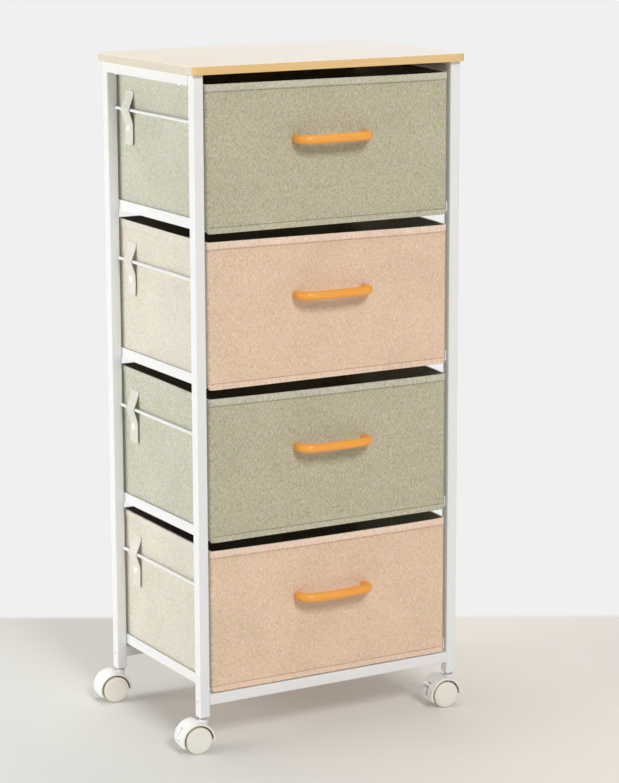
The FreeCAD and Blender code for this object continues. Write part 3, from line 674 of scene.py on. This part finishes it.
straps = start("drawer_straps", bpy.ops.mesh.primitive_plane_add, size=1)
bpy.ops.mesh.delete(type="ONLY_FACE")
pick(straps, "VERT", lambda at, vertex: at.x > 0)
bpy.ops.mesh.delete(type="VERT")
bpy.ops.mesh.select_all(action="SELECT")
bpy.ops.transform.resize(value=(0, strap_width, 0), center_override=(0, 0, 0))
bpy.ops.transform.translate(value=strap_point(*strap_line[0]) + Vector((0, strap_middle, 0)))
for (out, drop), (next_out, next_drop) in zip(strap_line, strap_line[1:]):
    step = strap_point(next_out, next_drop) - strap_point(out, drop)
    bpy.ops.mesh.extrude_edges_move(TRANSFORM_OT_translate={"value": step})
bpy.ops.mesh.select_all(action="SELECT")
bpy.ops.mesh.subdivide(number_cuts=1)
bpy.ops.mesh.duplicate()
bpy.ops.transform.resize(value=(-1, 1, 1), center_override=(0, 0, 0))
bpy.ops.mesh.select_all(action="SELECT")
bpy.ops.mesh.normals_make_consistent(inside=False)
end_edit(straps)
apply_modifier(straps, "SOLIDIFY", thickness=1.2 * MM, offset=0)
apply_modifier(straps, "BEVEL", width=0.4 * MM, segments=2, limit_method="ANGLE", angle_limit=sharp)
bpy.ops.object.shade_smooth_by_angle(angle=math.radians(45))
lay_flat(straps)
# Faces looking towards the drawer take the second finish, the painted shade.
for polygon in straps.data.polygons:
    polygon.material_index = 1 if polygon.normal.x * polygon.center.x < 0 else 0
print("strap faces:", len(straps.data.polygons))

# %% [markdown]
# ## Stitches
# A lockstitch shows as a row of short thread dashes, about 4 mm from one to the next, sunk into the cloth.
# One stitch is a small capsule. An Array modifier lays it along a wall of the drawer, and the row is copied
# to the other walls. It has few faces, because there are more than a thousand stitches.

# %% Model one drawer's stitches
thread_radius = 0.45 * MM
stitch_stretch = 2.6


def stitch_row(name, first, step, count):
    """A row of stitches from a first point, spaced and counted along a step."""
    row = start(name, bpy.ops.mesh.primitive_uv_sphere_add, segments=6, ring_count=4, radius=thread_radius)
    along = Vector([stitch_stretch if abs(v) > 0 else 1 for v in step])
    bpy.ops.transform.resize(value=along)
    bpy.ops.transform.translate(value=first)
    end_edit(row)
    apply_modifier(row, "ARRAY", count=count, use_relative_offset=False, use_constant_offset=True,
                   constant_offset_displace=step)
    bpy.ops.object.shade_smooth()
    return row


stitch_z = cloth_high.z - hem + 1.0 * MM
low_stitch_z = cloth_low.z + 3.9 * MM
proud = 0.75 * MM
stitch_pitch = 4 * MM
along_x, along_y = (stitch_pitch, 0, 0), (0, stitch_pitch, 0)
start_x, start_y = -188 * MM, -134 * MM
count_x, count_y = 95, 68
rows = []
for side in (-1, 1):
    y = cloth_low.y - proud if side < 0 else cloth_high.y + proud
    x = side * (half_x + proud)
    rows.append(stitch_row("stitches", Vector((start_x, y, stitch_z)), along_x, count_x))
    rows.append(stitch_row("stitches", Vector((x, start_y, stitch_z)), along_y, count_y))
low_first = Vector((start_x, cloth_low.y - 0.1 * MM, low_stitch_z))
rows.append(stitch_row("stitches", low_first, along_x, count_x))
bpy.ops.object.select_all(action="DESELECT")
for row in rows:
    row.select_set(True)
bpy.context.view_layer.objects.active = rows[0]
bpy.ops.object.join()
stitches = rows[0]
print("stitch faces:", len(stitches.data.polygons))

# %% [markdown]
# ## Four drawers
# The other drawers are the same pieces, one pitch higher each, with their own cloth colours. Each copy
# moves with its own drawer and stands for the plain solids there. Cloth above the card can sag, so the rims
# are not quite level: each drawer's front rim dips by its own few millimetres from place to place, and its
# rear rim stands a little higher. All of that fades towards the bottom. Places, dips and rises are in
# millimetres.

# %% Copy the sewn pieces into the four drawers
rim_places = (-196, -100, 0, 120, 180, 197)
rim_dips = {1: (1.8, 2.1, 2.4, 3.1, 3.0, 2.4), 2: (-0.7, 0.2, 1.3, 2.8, 3.1, 2.6),
            3: (0.6, 2.0, 3.0, 3.6, 3.6, 3.1), 4: (-0.1, 1.4, 1.9, 1.9, 1.4, 0.2)}
rear_rise = {1: 1.5, 2: 2.2, 3: 3.0, 4: 3.0}
front_reach = 120 * MM


def dip_at(x, dips):
    """The dip of a front rim at a place along it, in millimetres, between the measured places."""
    for i in range(len(rim_places) - 1):
        if x <= rim_places[i + 1]:
            break
    share = (x - rim_places[i]) / (rim_places[i + 1] - rim_places[i])
    return dips[i] + (dips[i + 1] - dips[i]) * max(0, min(1, share))


def sag(piece, base, dips, rear):
    """Lower the front rim of a piece by its dips and raise the rear one, fading towards the bottom."""
    for vertex in piece.data.vertices:
        height = max(0, (vertex.co.z - base) / drawer_height - 0.5) * 2
        forward = max(0, 1 - (vertex.co.y - cloth_low.y) / front_reach)
        backward = max(0, (vertex.co.y - cloth_low.y) / (cloth_high.y - cloth_low.y))
        dip = dip_at(vertex.co.x / MM, dips) * forward - rear * backward
        vertex.co.z -= dip * MM * height


for number in (1, 2, 3, 4):
    lift = Vector((0, 0, (4 - number) * pitch))
    name = "drawer_%d" % number
    sage = number in (1, 3)
    outer = copied(cloth, name + "_linen", lift)
    inner = copied(lining, name + "_spunbond", lift)
    bands = copied(straps, name + "_bands", lift)
    sewing = copied(stitches, name + "_stitches", lift)
    for piece in (outer, inner, sewing):
        sag(piece, cloth_low.z + lift.z, rim_dips[number], rear_rise[number])
    coat(outer, sage_linen if sage else peach_linen)
    coat(inner, spunbond)
    coat(bands, sage_band if sage else peach_band)
    # The strap's second finish is the painted shade on its inner faces.
    bands.data.materials.append(sage_strap_shade if sage else peach_strap_shade)
    coat(sewing, sage_thread if sage else peach_thread)
    for piece in (outer, inner, bands, sewing):
        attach(piece, name)
    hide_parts(name + "_cloth")
    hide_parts(name + "_lining")
    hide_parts(name + "_straps")
for pattern in (cloth, lining, straps, stitches):
    bpy.data.objects.remove(pattern)
print("drawers dressed")

# %% [markdown]
# ## Floor, light and camera
# The tower stands in a white room. A lamp high in front throws the shadows of the handles down onto the
# cloth, a window at the left lights the sides, and the ceiling lights the board and the floor. The floor is
# pale, and it turns into the white of the wall along a straight line behind the tower, and slowly at a
# distance all round. That line is drawn on the floor itself, so that no wall stands in the way of the other
# views. Only the camera and mirroring surfaces see that white, and a share of the floor's own colour that
# no shadow darkens. All other light meets the plain floor.

# %% Floor
view_turn = math.radians(29.754)
view_way = Vector((math.sin(view_turn), math.cos(view_turn), 0))
wall_start, wall_full = 0.430, 0.450
fade_start, fade_full = 1.4, 2.6
cool_x, warm_x = -0.5, 0.3
glow_share = 0.22
floor = start("floor", bpy.ops.mesh.primitive_plane_add, size=80)
bpy.ops.mesh.subdivide(number_cuts=3)
end_edit(floor)
floor_paint, tree, shader, place = finish_named("pale_floor")
output = tree.nodes["Material Output"]
away = add(tree, "VectorMath", {0: place, 1: view_way}, operation="DOT_PRODUCT")
behind = add(tree, "MapRange", {0: away.outputs["Value"], 1: wall_start, 2: wall_full})
far = add(tree, "VectorMath", {0: place}, operation="LENGTH")
distant = add(tree, "MapRange", {0: far.outputs["Value"], 1: fade_start, 2: fade_full})
beyond = add(tree, "Math", {0: behind.outputs[0], 1: distant.outputs[0]}, operation="MAXIMUM")
cloudy = add(tree, "TexNoise", {"Vector": place, "Scale": 1000 / 300, "Detail": 2.0})
across = add(tree, "SeparateXYZ", {0: place})
# Painted light: the floor is cooler and greyer at the left, for the window's daylight, and warmer towards the
# right.
painted_daylight_share = add(tree, "MapRange", {0: across.outputs[0], 1: cool_x, 2: warm_x})
painted_daylight_tone = add(tree, "Mix", {0: cloudy.outputs[0], 6: tone("#D6D7D3"), 7: tone("#DADBD7")}, **BLEND)
painted_room_light_tone = add(tree, "Mix", {0: cloudy.outputs[0], 6: tone("#E7E0D7"), 7: tone("#ECE6DE")}, **BLEND)
ground = add(tree, "Mix", {0: painted_daylight_share.outputs[0], 6: painted_daylight_tone.outputs[2], 7: painted_room_light_tone.outputs[2]}, **BLEND)
rays = add(tree, "LightPath", {}).outputs
seen = add(tree, "Math", {0: rays["Is Camera Ray"], 1: rays["Is Glossy Ray"]}, operation="MAXIMUM")
seen_all = add(tree, "Math", {0: seen.outputs[0], 1: rays["Is Transmission Ray"]}, operation="MAXIMUM")
wall_share = add(tree, "Math", {0: beyond.outputs[0], 1: seen_all.outputs[0]}, operation="MULTIPLY")
wall_glow = add(tree, "Emission", {"Color": tone("#F0F0F0"), "Strength": 1.0})
floor_glow = add(tree, "Emission", {"Color": ground.outputs[2], "Strength": 0.95})
filled = add(tree, "Math", {0: seen_all.outputs[0], 1: glow_share}, operation="MULTIPLY")
lit_floor = add(tree, "MixShader", {0: filled.outputs[0], 1: shader.outputs[0], 2: floor_glow.outputs[0]})
both = add(tree, "MixShader", {0: wall_share.outputs[0], 1: lit_floor.outputs[0], 2: wall_glow.outputs[0]})
tree.links.new(ground.outputs[2], shader.inputs["Base Color"])
tree.links.new(both.outputs[0], output.inputs["Surface"])
shader.inputs["Roughness"].default_value = 0.7
coat(floor, floor_paint)
floor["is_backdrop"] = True
print("floor laid")

# %% Light
scene = bpy.context.scene
world = bpy.data.worlds.new("white_room")
scene.world = world
world.use_nodes = True
tree = world.node_tree
tree.nodes.clear()
rays = add(tree, "LightPath", {}).outputs
seen = add(tree, "Math", {0: rays["Is Camera Ray"], 1: rays["Is Transmission Ray"]}, operation="MAXIMUM")
room = add(tree, "Background", {"Color": tone("#FFFFFF"), "Strength": 0.35})
backdrop = add(tree, "Background", {"Color": tone("#F0F0F0"), "Strength": 1.0})
sky = add(tree, "MixShader", {0: seen.outputs[0], 1: room.outputs[0], 2: backdrop.outputs[0]})
add(tree, "OutputWorld", {"Surface": sky.outputs[0]})


def soft_light(name, place, aim, width, power):
    """A square soft box that looks from its place towards a point."""
    bpy.ops.object.light_add(type="AREA", location=place)
    lamp = bpy.context.object
    lamp.name = name
    lamp.data.size = width
    lamp.data.energy = power
    lamp.rotation_euler = (Vector(aim) - Vector(place)).to_track_quat("-Z", "Y").to_euler()


soft_light("front_lamp", (-0.55, -5.63, 4.81), (0, 0, 0.5), 1.8, 252)
soft_light("window", (-3.0, 0.75, 0.95), (0, 0, 0.4), 1.8, 57)
soft_light("ceiling", (0.15, 0.7, 4.0), (0.1, 0.5, 0), 1.4, 52)
scene.view_settings.view_transform = "Standard"
print("light set")

# %% Camera
bpy.ops.object.camera_add(location=(0, 0, 0))
camera = bpy.context.object
camera.data.lens = 123.624
camera.data.sensor_width = 36
camera_place = (-1.8945, -3.3956, 1.2927)
tilt_down = math.radians(11.836)
roll = Matrix.Rotation(math.radians(-0.188), 4, "Z")
turn = Matrix.Rotation(-view_turn, 4, "Z") @ Matrix.Rotation(math.radians(90) - tilt_down, 4, "X")
camera.matrix_world = Matrix.Translation(camera_place) @ turn @ roll
camera.data.clip_end = 100
scene.camera = camera
bpy.ops.object.select_all(action="DESELECT")
dressed_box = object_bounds()
growth = [a - b for dressed, solid in zip(dressed_box, solid_box) for a, b in zip(dressed, solid)]
print("box grew by (mm):", [round(v / MM, 1) for v in growth])
